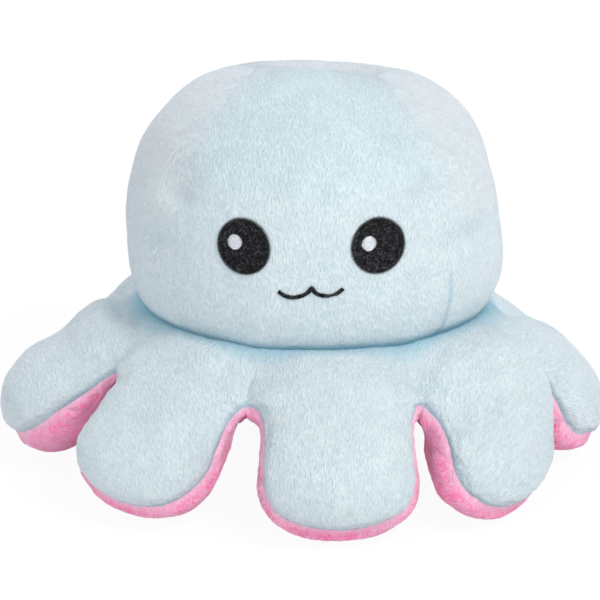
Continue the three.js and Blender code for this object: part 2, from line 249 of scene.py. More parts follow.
def ring_noise(az, size, seed):
    """Noise that changes only round the toy's axis, as gathers do."""
    return noise(np.stack([np.cos(az), np.sin(az), 0 * az], -1) * 50, size, seed)


STRETCH = 12          # points of a spline for each stretch between two stations


def spline(stations):
    """A smooth line through stations (stations, columns, xyz)."""
    ends = np.concatenate([2 * stations[:1] - stations[1:2], stations, 2 * stations[-1:] - stations[-2:-1]])
    line = []
    for i in range(len(stations) - 1):
        p0, p1, p2, p3 = ends[i:i + 4]
        d0, d1, d2 = (np.linalg.norm(b - a, axis=-1, keepdims=True) ** 0.5 + 1e-4
                      for a, b in ((p0, p1), (p1, p2), (p2, p3)))
        m1 = p2 - p1 + d1 * ((p1 - p0) / d0 - (p2 - p0) / (d0 + d1))
        m2 = p2 - p1 + d1 * ((p3 - p2) / d2 - (p3 - p1) / (d1 + d2))
        for t in np.arange(STRETCH) / STRETCH:
            line.append((2 * t ** 3 - 3 * t ** 2 + 1) * p1 + (t ** 3 - 2 * t ** 2 + t) * m1
                        + (3 * t ** 2 - 2 * t ** 3) * p2 + (t ** 3 - t ** 2) * m2)
    return np.array(line + [stations[-1]])


def even_rows(line, rows):
    """The same line cut into equal steps along each column."""
    travel = travelled(line)
    out = np.empty((rows + 1, line.shape[1], 3))
    for c in range(line.shape[1]):
        for a in range(3):
            out[:, c, a] = np.interp(np.linspace(0, travel[-1, c], rows + 1), travel[:, c], line[:, c, a])
    return out


# %% [markdown]
# ## The skirt and the arms, as a pattern of slices
# Each arm is a short fat tongue: blue on top, pink below, its roundest slice in the middle. The
# width is walked as an angle from one side seam to the other, and each angle gives one lengthways
# slice: up from the neck, over the arm's back, round its tip to the seam, and back underneath. The
# eight arms share one recipe. Each has its own lean, droop and fullness, as hand stuffing gives.

# %% The skirt's and arms' driving numbers
HINGE_RADIUS, HINGE_HEIGHT, HALF_SPAN = 67.444, 35.0, 27.94
ARM_TURN, ARM_DROOP = 6.6 * DEG, 50 * DEG
NECK_EDGE, POCKET_EDGE = 46.5, 26.2          # radius where the skirt's blue and pink cloth end inside
ALONG = np.array([0, math.cos(ARM_DROOP), -math.sin(ARM_DROOP)])
ABOVE = np.array([0, math.sin(ARM_DROOP), math.cos(ARM_DROOP)])
LENGTH, EASE = 41.8, 26.0          # an arm from hinge to tip, and the part of it that takes up its posture
NOTCH_HEIGHT = [37.6, 36.0, 35.8, 37.5, 37.5, 37.5, 37.7, 38.5]    # after arm 1, 2 ... 8
NOTCH_LIP = 1.3                                                    # pink that shows in a notch
# degrees: droop down, lean sideways, roll, and psi, the turn of the side seams
# millimetres: half the width, half thickness of tip and root, centre of the side's curve, lift, how
# high the blue ends, rounding and waist at both sides of the root, rise of the skirt above it
# shares: reach of the arm's length, puff of the tip's slices
ARM_WORDS = """droop lean roll reach width tip side puff lift seam psi
               round_before round_after root waist_before rise""".split()
ARMS = [dict(zip(ARM_WORDS, row), waist_after=0.3) for row in (
    (  -1,  -0.2,  0.3, 0.959, 24.9, 17.3, 20.7, 0.912, -0.2, 3.5, 12.6, 2.3,  4.7, 14.2, 1.5,  0),
    (-3.8, -22.7, -4.5, 0.966, 28.6, 12.7,  9.5, 0.851,  1.1, 3.4, 17.3,   7,    7, 15.6, 0.3,  0),
    (-3.6,  -1.4,  8.4, 0.906, 25.9, 13.5, 18.5, 0.858, -1.3, 4.8, 13.8,   7,    7,   10, 0.3, -7),
    (   3,     3,   -2, 0.975, 25.2, 15.6, 17.5,  0.83,  0.2, 4.2,   13,   6,    6, 10.6, 0.3,  0),
    (-1.5,    -2,  1.5,  0.99, 25.4, 17.2, 18.2,  0.82,  0.1, 3.8, 12.5,   6,    6, 14.2, 0.3,  0),
    ( 1.5,    -5,  2.5,  0.97,   25, 16.4,   17,  0.84,  0.3, 4.4, 13.5,   6,    6, 14.2, 0.3,  0),
    ( 7.8,  -3.9, -1.9,  1.04, 26.5, 15.3, 16.8, 0.819,  2.4, 2.3, 10.9,   7,  7.5, 15.6, 0.3, -4),
    ( 3.7,     0, -9.1, 0.961, 24.9, 14.4, 15.5, 0.977, -0.3, 3.4, 10.3, 4.3, 12.4, 12.5, 0.3,  0),
)]
ACROSS, SKIRT_ROWS, ARM_ROWS = 128, 48, 128          # faces of the blue cloth in one sector
UNDER_ACROSS, SIDE, UNDER_ROWS, BELLY_ROWS = 64, 8, 64, 48


# %% One slice of an arm
def hinge_line(s, arm, low=False):
    """The line the arm bends on; its ends rise or drop to the notches beside it."""
    notch = np.where(s > 0, arm["notch_after"], arm["notch_before"])
    drop = NOTCH_LIP if low else arm["root"] * math.sin(arm["psi"] * DEG) ** 0.9
    height = HINGE_HEIGHT + (notch - HINGE_HEIGHT - drop) * smooth((np.abs(s) - 0.7) / 0.3)
    return np.stack([HALF_SPAN * s, np.full_like(s, HINGE_RADIUS), height], -1)


def seam_turn(arm):
    """The angle that the blue cloth covers, from the arm's middle to its side seam."""
    return math.pi / 2 - arm["psi"] * DEG


def slice_point(s, l, h, arm):
    """A point l along the arm and h above its middle plane, in the slice whose turn has sine s."""
    e = math.sin(seam_turn(arm))
    sn = np.clip(s / e, -1, 1)
    steep = (np.clip((np.abs(sn) - 0.7) / 0.3, 0, 1) ** 2 * (1 - smooth(l / 7)))[:, None]
    near = 1 - np.clip(l / np.where(s > 0, arm["round_after"], arm["round_before"]), 0, 1)
    half = arm["width"] + (HALF_SPAN / e - arm["width"]) * (1 - np.sqrt(np.clip(1 - near ** 2, 0, 1)))
    waist = np.where(s > 0, arm["waist_after"], arm["waist_before"])
    half = half - waist * smooth(l / 4) * hill(l, 15)
    up = ABOVE * (1 - steep) + np.array([0, 0, 1.0]) * steep
    p = hinge_line(sn, arm) + l[:, None] * ALONG + h[:, None] * up
    p[:, 0] = half * s
    return p


def slice_sizes(c, arm):
    """Half thickness at the root, half thickness at the tip, and how far out the tip's centre is."""
    tip = arm["tip"] * c ** arm["puff"]
    return arm["root"] * c ** 0.9, tip, arm["side"] + (LENGTH * arm["reach"] - arm["side"]) * c ** 0.75 - tip


def seam_angle(s, tip, arm):
    """How far above the middle plane the blue ends, as an angle round the tip."""
    e = seam_turn(arm)
    rim = arm["tip"] * math.cos(e) ** arm["puff"]
    high = arm["seam"] + (rim - arm["seam"]) * np.clip(np.abs(s) / math.sin(e), 0, 1) ** 4
    return np.arcsin(np.clip(high / np.maximum(tip, 1e-6), 0, 1))


def ring_point(sn, radius, z):
    """A point of the skirt at that radius, s of the way across the sector."""
    alpha = np.arctan2(HALF_SPAN * sn, HINGE_RADIUS)
    z = z + 0 * sn
    return np.stack([radius * np.sin(alpha), radius * np.cos(alpha), z], -1)


# %% The blue sheet of one sector
def blue_slices(arm, across, skirt_rows, arm_rows):
    """Skirt rows from the neck down to the notches, then arm rows out to the seam round the tip."""
    e = seam_turn(arm)
    phi = np.linspace(-1, 1, across + 1) * e
    s, c = np.sin(phi), np.cos(phi)
    root, tip, out = slice_sizes(c, arm)
    sn = s / math.sin(e)
    cn = np.sqrt(np.clip(1 - sn ** 2, 0, 1))
    up = 75 * DEG
    socket = hinge_line(sn, arm) + (root * 1.04 + 0.1)[:, None] * np.array([0, math.cos(up), math.sin(up)])
    notch = slice_point(s, 0 * s, root, arm)
    share = (cn ** 0.5)[:, None]
    valley = smooth((np.abs(sn) - 0.2) / 0.8)
    rise = arm["rise"] * (1 - valley)
    rings = ((NECK_EDGE, 48.0), (50.0, 49.9), (55.0, 52.0),
             (58.5, 53.9 - 0.7 * valley + 0.6 * rise), (63.0, 53.2 - 3.8 * valley + rise))
    stations = [ring_point(sn, radius, z) for radius, z in rings] + [socket * share + notch * (1 - share)]
    split = (len(stations) - 1) * STRETCH
    half = (root + tip) / 2 + 0.6 * c
    for part in (0.015, 0.08, 0.22, 0.5, 1):
        stations.append(slice_point(s, out / 2 * part + 0.5 * cn * (1 - part), root + (half - root) * part, arm))
    start = seam_angle(s, tip, arm)
    for part in (0, 0.3, 0.6, 0.85, 1):
        t = math.pi / 2 + (start - math.pi / 2) * part
        stations.append(slice_point(s, out + tip * np.cos(t), tip * np.sin(t), arm))
    line = spline(np.array(stations))
    return even_rows(line[:split + 1], skirt_rows), even_rows(line[split:], arm_rows)


# %% The pink sheet of one sector
def pink_slices(arm, across, wrap_steps, arm_rows, belly_rows):
    """Arm rows from the tip's seam back to the root, then belly rows in to the pocket's mouth."""
    e = seam_turn(arm)
    rim = np.linspace(e, math.pi / 2, wrap_steps + 1)[1:]
    wrap = np.concatenate([rim, math.pi - rim[::-1][1:], [math.pi - e]])
    phi = np.concatenate([-wrap[::-1], np.linspace(-1, 1, across + 1) * e, wrap])
    s, c = np.sin(phi), np.abs(np.cos(phi))
    c[c < 1e-9] = 0
    over = np.cos(phi) < 1e-9
    root, tip, out = slice_sizes(c, arm)
    sign = np.where(over, -1.0, 1.0)
    sn = np.clip(s / math.sin(e), -1, 1)
    dip = smooth((1 - np.abs(sn)) / 0.35)
    start = seam_angle(s, tip, arm)
    stations = []
    for part in (0, 0.25, 0.5, 0.75, 1):
        t = start + (-math.pi / 2 * sign - start) * part
        stations.append(slice_point(s, out + tip * np.cos(t), tip * np.sin(t), arm))
    for part in (1, 0.5, 0.22, 0.08, 0.015):
        thin = np.where(over, 1.0, 1 - (1 - dip) * (1 - part) ** 2)
        stations.append(slice_point(s, out / 2 * part, -sign * (root * thin + (tip - root) / 2 * part), arm))
    low = hinge_line(sn, arm, low=True)
    root = root * np.where(over, 1.0, dip)
    bottom = low + root[:, None] * np.array([0, math.cos(-140 * DEG), math.sin(-140 * DEG)])
    lip = low.copy()
    lip[:, 2] += NOTCH_LIP * np.clip(c / math.cos(e), 0, 1)
    stations.append(np.where(over[:, None], lip, bottom))
    arm_line = spline(np.array(stations))
    belly = slice(wrap_steps, len(s) - wrap_steps)
    sn, first, root = sn[belly], stations[-1][belly], root[belly]
    full = smooth(root / 9)[:, None]
    goal = ring_point(sn, 47.0, 28.0)
    inward = [first]
    for part, radius, z in ((0.3, 72.5, 36.4), (0.65, 68.0, 35.6)):
        inward.append((first + (goal - first) * part) * full + ring_point(sn, radius, z) * (1 - full))
    inward += [ring_point(sn, 46.0, 30.0 - 2.0 * full[:, 0]), ring_point(sn, 35.0, 25.2),
               ring_point(sn, 28.0, 24.6), ring_point(sn, POCKET_EDGE, 27.5)]
    before = np.array(stations[-2])[belly]
    belly_line = spline(np.array([before] + inward))[STRETCH:]
    return even_rows(arm_line, arm_rows), even_rows(belly_line, belly_rows)


# %% Each arm's own posture, and its place in the ring
def posture(p, arm):
    """Roll about the arm, lean sideways and droop, growing from nothing at the hinge line."""
    shape = p.shape
    q = (p - [0, HINGE_RADIUS, HINGE_HEIGHT]).reshape(-1, 3)
    w = smooth(q @ ALONG / EASE)
    x, d, u = q[:, 0], q @ ALONG, q @ ABOVE
    x, u = rotated(x, u, arm["roll"] * DEG * w)
    x = x + np.where(d < EASE / 2, np.maximum(d, 0) ** 2 / EASE, d - EASE / 4) * math.tan(arm["lean"] * DEG)
    q = d[:, None] * ALONG + u[:, None] * ABOVE
    y, z = rotated(q[:, 1], q[:, 2], arm["droop"] * DEG * w)
    return np.stack([x, y, z + arm["lift"] * w], -1).reshape(shape) + [0, HINGE_RADIUS, HINGE_HEIGHT]


def azimuth(k):
    """The way that sector k points: 0 is the front arm's."""
    return 45 * DEG * k - math.pi / 2 + ARM_TURN


def turned(x, y, k):
    """x and y of a sector that was drawn pointing along y, turned to its azimuth."""
    return rotated(y, x, azimuth(k))


def into_ring(p, k):
    """Turns a sector to its own azimuth, and lets what is under the table lie flat on it."""
    z = p[..., 2]
    z = 0.5 * (z + np.sqrt(z * z + 0.4))
    return np.stack([*turned(p[..., 0], p[..., 1], k), z], -1)


# %% All eight sectors, with shared edges made exactly equal
skirt, upper, lower, belly = [], [], [], []
for k, arm in enumerate(ARMS):
    arm["notch_after"], arm["notch_before"] = NOTCH_HEIGHT[k], NOTCH_HEIGHT[k - 1]
    a, b = blue_slices(arm, ACROSS, SKIRT_ROWS, ARM_ROWS)
    c, d = pink_slices(arm, UNDER_ACROSS, SIDE, UNDER_ROWS, BELLY_ROWS)
    narrow = np.tan(22.5 * DEG) * np.abs(d[..., 1])
    d[..., 0] = np.clip(d[..., 0], -narrow, narrow)
    skirt.append(into_ring(a, k))
    upper.append(into_ring(posture(b, arm), k))
    lower.append(into_ring(posture(c, arm), k))
    belly.append(into_ring(d, k))


def same(pairs):
    for i, j in pairs:
        i[...] = j[...] = (i + j) / 2


for k in range(8):
    n = (k + 1) % 8
    same([(skirt[k][:, -1], skirt[n][:, 0]), (belly[k][:, -1], belly[n][:, 0]),
          (lower[k][-1, -SIDE - 1:], lower[n][-1, :SIDE + 1][::-1])])
for k in range(8):
    skirt[k][-1, 0], skirt[k][-1, -1] = lower[k][-1, 0], lower[k][-1, -1]
    upper[k][0] = skirt[k][-1]
    halves = upper[k][::ARM_ROWS // UNDER_ROWS, ::ACROSS // UNDER_ACROSS]
    lower[k][0, 2 * SIDE:-2 * SIDE] = halves[-1]
    lower[k][:, 0], lower[k][:, -1] = halves[::-1, 0], halves[::-1, -1]
    belly[k][0] = lower[k][-1, SIDE:-SIDE]
print("arm 1 reaches", round(float(-upper[0][..., 1].min()), 1), "mm out; lowest cloth",
      round(float(min(p[..., 2].min() for p in lower)), 2), "mm")

# %% [markdown]
# ## The nap's direction
# Pile cloth is cut with its nap one way, so its fine streaks run the same way over a whole pattern
# piece. Each sheet therefore gets a UV map that is its flat pattern in millimetres: rings for the
# skirt, with the arms laid out straight from it. The streaks in the material follow that map.

# %% Flat pattern of a sheet
def from_middle(p):
    """How far each point of a row is from the row's middle, along the cloth."""
    across = travelled(p, 1)
    return across - across[:, [across.shape[1] // 2]]


def ring_pattern(ring, k, inner):
    """UV in millimetres for a sector's ring rows, from the radius inner outwards."""
    out = travelled(ring) + inner
    alpha = around(np.arctan2(ring[..., 1], ring[..., 0]) - azimuth(k))
    return np.stack([-out * np.sin(-alpha), out * np.cos(alpha)], -1)


def arm_pattern(ring_uv, arm_rows):
    """UV of the arm's rows, laid out straight from the ring's last row."""
    across = from_middle(arm_rows)
    return np.stack([ring_uv[-1, :, 0] + across - across[:1], ring_uv[-1, :, 1] + travelled(arm_rows)], -1)


def turned_uv(uv, k):
    return np.stack(turned(uv[..., 0], uv[..., 1], k), -1)


# %% [markdown]
# ## Sewing the sheets
# A grid operator makes each sheet, its corners are moved onto the slices, and the sheets' shared
# edges are merged. Sewing leaves marks that make a plush toy look real: the seam pulls a groove,
# the cloth puckers across it, folds run out from each notch and from the neck, and the stuffing
# shows as soft lumps. All of these are small moves along the cloth's own normal.

# %% A sheet of faces over a block of points
def lay_sheet(bm, points, uv, part):
    """Lays a grid over the points (rows, columns, xyz), with its UV, and numbers its faces by part."""
    rows, cols = points.shape[:2]
    first = len(bm.verts)
    bmesh.ops.create_grid(bm, x_segments=cols - 1, y_segments=rows - 1, size=1.0)
    bm.verts.ensure_lookup_table()
    made = bm.verts[first:]
    layer = bm.loops.layers.uv["pile"]
    spots = {}
    for v in made:
        i, j = round((v.co.y + 1) / 2 * (rows - 1)), round((v.co.x + 1) / 2 * (cols - 1))
        spots[v] = (i, j)
        v.co = Vector(points[i, j] * MM)
    for face in {f for v in made for f in v.link_faces}:
        face.material_index = part
        face.smooth = True
        for loop in face.loops:
            i, j = spots[loop.vert]
            loop[layer].uv = uv[i, j]


def new_sheet_mesh():
    bm = bmesh.new()
    bm.loops.layers.uv.new("pile")
    return bm


def sewn_sheet(bm, name):
    """Merges the shared edges and makes the sheet an object."""
    bmesh.ops.remove_doubles(bm, verts=bm.verts, dist=0.01 * MM)
    bmesh.ops.recalc_face_normals(bm, faces=bm.faces)
    return new_object(bm, name)


def read_points(obj):
    """The object's points in millimetres, and their normals."""
    n = len(obj.data.vertices)
    co = np.empty(n * 3, np.float32)
    obj.data.vertices.foreach_get("co", co)
    no = np.empty(n * 3, np.float32)
    obj.data.vertex_normals.foreach_get("vector", no)
    return co.reshape(n, 3).astype(float) / MM, no.reshape(n, 3).astype(float)


def write_points(obj, p):
    obj.data.vertices.foreach_set("co", (p * MM).astype(np.float32).ravel())
    obj.data.update()


def face_outwards(obj, inside):
    """Flips the whole mesh if its faces look towards the point inside."""
    p, n = read_points(obj)
    if np.sum(n * (p - np.array(inside))) < 0:
        obj.data.flip_normals()


def mark(obj, name, values):
    """Stores one number at each point, for the material to read."""
    obj.data.attributes.new(name, "FLOAT", "POINT").data.foreach_set("value", values.astype(np.float32))


def lookup(points):
    """A tree that finds the nearest of the points quickly."""
    tree = KDTree(len(points))
    for i, p in enumerate(points):
        tree.insert(p, i)
    tree.balance()
    return tree


def nearest(points, targets):
    """For each point, the distance to the nearest target and that target's number."""
    tree = lookup(targets)
    found = [tree.find(p) for p in points]
    return np.array([f[2] for f in found]), np.array([f[1] for f in found])


# %% Blue cloth: one sheet of eight sectors
bm = new_sheet_mesh()
for k in range(8):
    ring_uv = ring_pattern(skirt[k], k, NECK_EDGE)
    lay_sheet(bm, skirt[k], turned_uv(ring_uv, k), 0)
    lay_sheet(bm, upper[k], turned_uv(arm_pattern(ring_uv, upper[k]), k), k + 1)
blue_body = sewn_sheet(bm, "blue_body")
face_outwards(blue_body, (0, 0, 30))
print("blue sheet:", len(blue_body.data.polygons), "faces")

# %% Pink cloth: arms' undersides and the belly, down to the pocket's mouth
bm = new_sheet_mesh()
for k in range(8):
    lay_sheet(bm, lower[k], np.stack([from_middle(lower[k]), travelled(lower[k])], -1), k + 1)
    lay_sheet(bm, belly[k], turned_uv(ring_pattern(belly[k][::-1], k, POCKET_EDGE), k)[::-1], 0)
pink_body = sewn_sheet(bm, "pink_body")
face_outwards(pink_body, (0, 0, 60))
print("pink sheet:", len(pink_body.data.polygons), "faces")

# %% Ease both sheets round the notches
def ease(body, places, steps):
    """Smooths the cloth near the places, the nearest cloth most, and leaves its seams where they are."""
    bm = bmesh.new()
    bm.from_mesh(body.data)
    far = nearest(np.array([v.co for v in bm.verts]) / MM, places)[0]
    free = [v for v in bm.verts if not v.is_boundary]
    for radius, rounds in steps:
        near = [v for v in free if far[v.index] < radius]
        for turn in range(rounds):
            bmesh.ops.smooth_vert(bm, verts=near, factor=0.5, use_axis_x=True, use_axis_y=True,
                                  use_axis_z=True)
    bm.to_mesh(body.data)
    bm.free()
    print(body.name, "eased at", len(near), "points and fewer")


notches = np.array([skirt[k][-1, -1] for k in range(8)])
ease(blue_body, notches, [(14, 6), (11, 10), (8, 24), (5, 30)])
ease(pink_body, notches, [(12, 3), (8, 5)])

# %% [markdown]
# ## Letting the cloth settle
# Real cloth isn't a smooth surface: it is cut a little too large, filled until it is tight, and its
# seams draw it together. A coarse copy of the sheets goes through a short cloth simulation: pressure
# inside, the cloth three parts in a hundred too large, the seams drawn in, and each point held softly
# near its place, firmly at the neck, at the pocket and where the toy rests. Only the waves it makes
# are passed on to the fine sheets, up to a limit, so the toy keeps its measured shape.

# %% Cloth simulation of a coarse copy
FRAMES, COARSE_FACES, PRESSURE = 20, 14000, 3.0
WAVE_SHARE, WAVE_LIMIT = 0.6, 0.6         # how much of the waves is kept, and the most in millimetres


def simulate(bodies, faces, hold, drawn, pressure):
    """Where the points of a coarse copy of the bodies stood, and how far each moved, in millimetres."""
    bm = bmesh.new()
    for body in bodies:
        bm.from_mesh(body.data)
    bmesh.ops.remove_doubles(bm, verts=bm.verts, dist=0.05 * MM)
    obj = new_object(bm, "coarse")
    coarser = obj.modifiers.new("coarser", "DECIMATE")
    coarser.ratio = faces / (2 * len(obj.data.polygons))
    obj.data = bpy.data.meshes.new_from_object(obj.evaluated_get(bpy.context.evaluated_depsgraph_get()))
    obj.modifiers.clear()
    before = read_points(obj)[0]
    for name, weights in (("hold", hold(before)), ("drawn", drawn(before))):
        group = obj.vertex_groups.new(name=name)
        for i, w in enumerate(weights):
            group.add([i], float(w), "REPLACE")
    cloth = obj.modifiers.new("cloth", "CLOTH")
    cloth.point_cache.frame_start, cloth.point_cache.frame_end = 1, FRAMES
    cloth.collision_settings.use_collision = False
    how = cloth.settings
    how.quality, how.mass = 6, 0.1
    how.tension_stiffness = how.compression_stiffness = 12
    how.shear_stiffness, how.bending_stiffness = 5, 0.05
    how.use_pressure, how.uniform_pressure_force = True, pressure
    how.effector_weights.gravity = 0
    how.vertex_group_mass, how.pin_stiffness = "hold", 1.0
    how.vertex_group_shrink, how.shrink_min, how.shrink_max = "drawn", -0.03, 0.04
    for f in range(1, FRAMES + 1):
        scene.frame_set(f)
    moved = obj.evaluated_get(bpy.context.evaluated_depsgraph_get())
    after = np.array([v.co for v in moved.data.vertices]) / MM
    scene.frame_set(1)
    bpy.data.objects.remove(obj)
    return before, after - before


def waves(points, before, move, limit):
    """The moves at the points, without their broad part, and no larger than limit."""
    tree = lookup(before)
    broad = np.array([move[[found[1] for found in tree.find_n(p, 90)]].mean(0) for p in before])
    wave = move - broad
    out = np.empty((len(points), 3))
    for row, p in enumerate(points):
        near = tree.find_n(p, 5)
        share = np.array([1 / (found[2] + 0.6) ** 2 for found in near])
        out[row] = share @ wave[[found[1] for found in near]] / share.sum()
    size = np.linalg.norm(out, axis=1)[:, None]
    usual = np.sqrt((size ** 2).mean())
    print("waves: usual %.2f mm, largest %.2f mm" % (usual, size.max()))
    return out * limit * np.tanh(size / limit) / np.maximum(size, 1e-9)


def hold_body(p):
    """Firm where the toy rests, at the neck and at the pocket's mouth, and slack elsewhere."""
    r = polar(p)[0]
    firm = np.maximum.reduce([p[:, 2] < 2.5, (p[:, 2] > 40) & (r < 57), (p[:, 2] < 33) & (r < 34)])
    return np.maximum(0.12, firm)


def seam_points(step):
    """Every step-th point of the seams that join each arm's blue and pink cloth."""
    edges = [[upper[k][::step, 0], upper[k][-1, ::step], upper[k][::step, -1]] for k in range(8)]
    return np.concatenate([np.concatenate(edge) for edge in edges])


started = time.time()
before, move = simulate([blue_body, pink_body], COARSE_FACES, hold_body,
                        lambda p: hill(nearest(p, seam_points(2))[0], 3.0), PRESSURE)
for body in (blue_body, pink_body):
    p = read_points(body)[0]
    free = smooth(p[:, 2] / 4) * np.where(p[:, 2] > 42, smooth((polar(p)[0] - 58) / 12), 1)
    write_points(body, p + waves(p, before, WAVE_SHARE * move, WAVE_LIMIT) * free[:, None])
print("simulated", len(before), "points in", round(time.time() - started, 1), "s")

# %% Seam grooves, puckers, folds and lumps of the body
seam_line = seam_points(1)
seam_normal = np.zeros_like(seam_line)
for body in (blue_body, pink_body):
    p, n = read_points(body)
    seam_normal += n[nearest(seam_line, p)[1]]
seam_normal /= np.linalg.norm(seam_normal, axis=1)[:, None]
# hollows pressed into the skirt: place in millimetres, how wide, how deep
HOLLOWS = [((67, 17, 46), 12, 4.2), ((63, 34, 42), 10, 2.6)]


def sewn(p, n, groove_depth):
    """Moves the cloth in and out by the small heights that sewing and stuffing give it."""
    d, at = nearest(p, seam_line)
    groove = -groove_depth * hill(d, 1.0)
    full = 0.3 * hill(d - 4.5, 2.6)
    pucker = 0.26 * np.exp(-d / 4.5) * (1 - hill(d, 0.7)) * noise(seam_line[at], 2.3, 3)
    lumps = 0.42 * noise(p, 15.0, 5) + 0.18 * noise(p, 7.0, 6)
    rd, c = nearest(p, notches)
    ray = (p - notches[c]) / np.maximum(rd, 0.5)[:, None]
    rays = 0.35 * np.exp(-rd / 7) * smooth(rd / 4) * noise(ray, 0.34, 8)
    r, az = polar(p)
    near_neck = np.exp(-np.maximum(r - 52, 0) / 7) * (p[:, 2] > 40)
    gather = 0.4 * near_neck * ring_noise(az, 3.2, 9)
    tufts = (0.1 + 0.13 * np.exp(-d / 2)) * (noise(p, 1.0, 11) + 0.8 * noise(p, .62, 12))
    height = groove + full + pucker + lumps * smooth(d / 6) + rays + gather + tufts
    height = height * np.where(p[:, 2] < 8, smooth(p[:, 2] / 3), 1)
    own = smooth(d / 1.6)[:, None]
    way = n * own + seam_normal[at] * (1 - own)
    moved = p + way / np.linalg.norm(way, axis=1)[:, None] * height[:, None]
    for place, wide, deep in HOLLOWS:
        away = np.linalg.norm(p - np.array(place), axis=1)
        moved[:, 2] -= deep * hill(away, wide) * smooth((p[:, 2] - 34) / 6)
    moved[:, 2] = np.maximum(moved[:, 2], 0.05)
    return moved, d


for body in (blue_body, pink_body):
    p, n = read_points(body)
    moved, d = sewn(p, n, 0.6)
    write_points(body, moved)
    r = polar(p)[0]
    # painted shade: near the neck the seam mark is nought from radius 50 to 58, so the skirt under the head takes
    # the darker seam colour
    neck = np.where(p[:, 2] > 45, (np.abs(r - 54) - 4) * 0.4, 9.0)
    mark(body, "seam_and_neck_shade_mm", np.clip(np.minimum(d, neck), 0, None))
    # painted shade: marks the skirt's cloth close under the head, where the colour is made a deeper blue that
    # glows a little
    mark(body, "neck_shade_mask", np.exp(-(np.maximum(r - 56.5, 0) / 3.6) ** 1.5) * smooth((p[:, 2] - 42) / 4))
    print(body.name, "moved by up to", round(float(np.linalg.norm(moved - p, axis=1).max()), 2), "mm")


# %% Cut the sheets at the arms' hinge lines into named pieces
def cut_pieces(obj, names):
    """Separates the faces of each numbered part into its own object, named after its CAD node."""
    known = bpy.data.materials
    parts = [known.get("part_%d" % i) or known.new("part_%d" % i) for i in range(len(names))]
    for part in parts:
        obj.data.materials.append(part)
    bpy.ops.object.select_all(action="DESELECT")
    bpy.context.view_layer.objects.active = obj
    obj.select_set(True)
    bpy.ops.object.mode_set(mode="EDIT")
    bpy.ops.mesh.select_all(action="SELECT")
    bpy.ops.mesh.separate(type="MATERIAL")
    bpy.ops.object.mode_set(mode="OBJECT")
    made = {}
    for o in list(bpy.context.selected_objects):
        name = names[parts.index(o.data.materials[o.data.polygons[0].material_index])]
        o.data.materials.clear()
        o.name = o.data.name = "cloth_" + name
        made[name] = o
    bpy.ops.object.select_all(action="DESELECT")
    return made


pieces = cut_pieces(blue_body, ["skirt_top"] + ["arm_%d_top" % k for k in range(1, 9)])
pieces.update(cut_pieces(pink_body, ["skirt_under"] + ["arm_%d_under" % k for k in range(1, 9)]))
print("pieces:", len(pieces), "with", sum(len(o.data.polygons) for o in pieces.values()), "faces")

# %% [markdown]
# ## The head
# Four gores sewn over a ball of fibre. The cloth starts as a flat disc: a square grid whose corners
# are drawn out along the four seams, and rings extruded from its edge. The disc is then wrapped
# over a profile with a flat crown, full sides and a tuck at the neck. The seams lie at 45 degrees
# to the face, as on the real toy, where one runs down each side of the face.

# %% The head's driving numbers
HEAD_WIDEST, HEAD_CROWN, HEAD_POWER, HEAD_MIDDLE, HEAD_UNDER = 62.4, 57.0, 2.5, 73.5, 23.2
NECK_RADIUS = 50.0
CAP, RINGS, FINE = 22, 17, 8          # faces across the disc's square, rings round it, cuts of each face
# gentle fullness and hollows round the outline as the photo shows them: degrees round, millimetres
SWELLS = [(-14, -.27), (2, -2.82), (18, -1.85), (34, .89), (48, -.61), (60, 1.16), (72, -2.46), (84, -4.4),
          (96, -1.51), (108, .58), (120, -.24), (134, 1.52), (150, .41), (166, .43), (182, -.27), (196, -.51)]

turn = np.linspace(0, math.pi / 2, 60)
side = [(HEAD_WIDEST * math.cos(a) ** (2 / HEAD_POWER), HEAD_MIDDLE + HEAD_CROWN * math.sin(a) ** (2 / HEAD_POWER))
        for a in np.linspace(math.pi / 2, 0, 200)[:-1]]
under = [(NECK_RADIUS + (HEAD_WIDEST - NECK_RADIUS) * math.cos(a), HEAD_MIDDLE - HEAD_UNDER * math.sin(a))
         for a in turn]
top, tuck = (0.0, HEAD_MIDDLE + HEAD_CROWN), (NECK_EDGE, HEAD_MIDDLE - HEAD_UNDER - 0.6)
profile = np.array([top] + side[1:] + under + [tuck])
arc = travelled(profile)
print("cloth from crown to neck:", round(float(arc[-1]), 1), "mm")


# %% A flat disc of cloth
def draw_disc(bm, across, rings, fine, radius):
    """A square grid drawn out to a disc, with rings extruded from its edge, and every face cut finer."""
    bmesh.ops.create_grid(bm, x_segments=across, y_segments=across, size=1.0)
    cap = radius * (across / 2) / (across / 2 + rings)
    for v in bm.verts:
        x, y = v.co.x, v.co.y
        reach = max(abs(x), abs(y))
        if reach > 0:
            if abs(x) >= abs(y):
                t, way = math.pi / 4 * (y / x), math.copysign(1, x)
                v.co = Vector((math.cos(t) * way, math.sin(t) * way, 0)) * reach * cap
            else:
                t, way = math.pi / 4 * (x / y), math.copysign(1, y)
                v.co = Vector((math.sin(t) * way, math.cos(t) * way, 0)) * reach * cap
    edge = [e for e in bm.edges if e.is_boundary]
    for i in range(rings):
        grown = bmesh.ops.extrude_edge_only(bm, edges=edge)["geom"]
        size = cap + (radius - cap) * (i + 1) / rings
        for v in (g for g in grown if isinstance(g, bmesh.types.BMVert)):
            v.co = v.co.normalized() * size
        edge = [g for g in grown if isinstance(g, bmesh.types.BMEdge) and g.is_boundary]
    # the rings' faces come in an order that changes from run to run, so they are laid again in a fixed one
    bm.verts.index_update()
    points, faces = [v.co.copy() for v in bm.verts], sorted([v.index for v in f.verts] for f in bm.faces)
    bm.clear()
    corners = [bm.verts.new(p) for p in points]
    for face in faces:
        bm.faces.new([corners[i] for i in face])
    bmesh.ops.subdivide_edges(bm, edges=bm.edges, cuts=fine - 1, use_grid_fill=True)


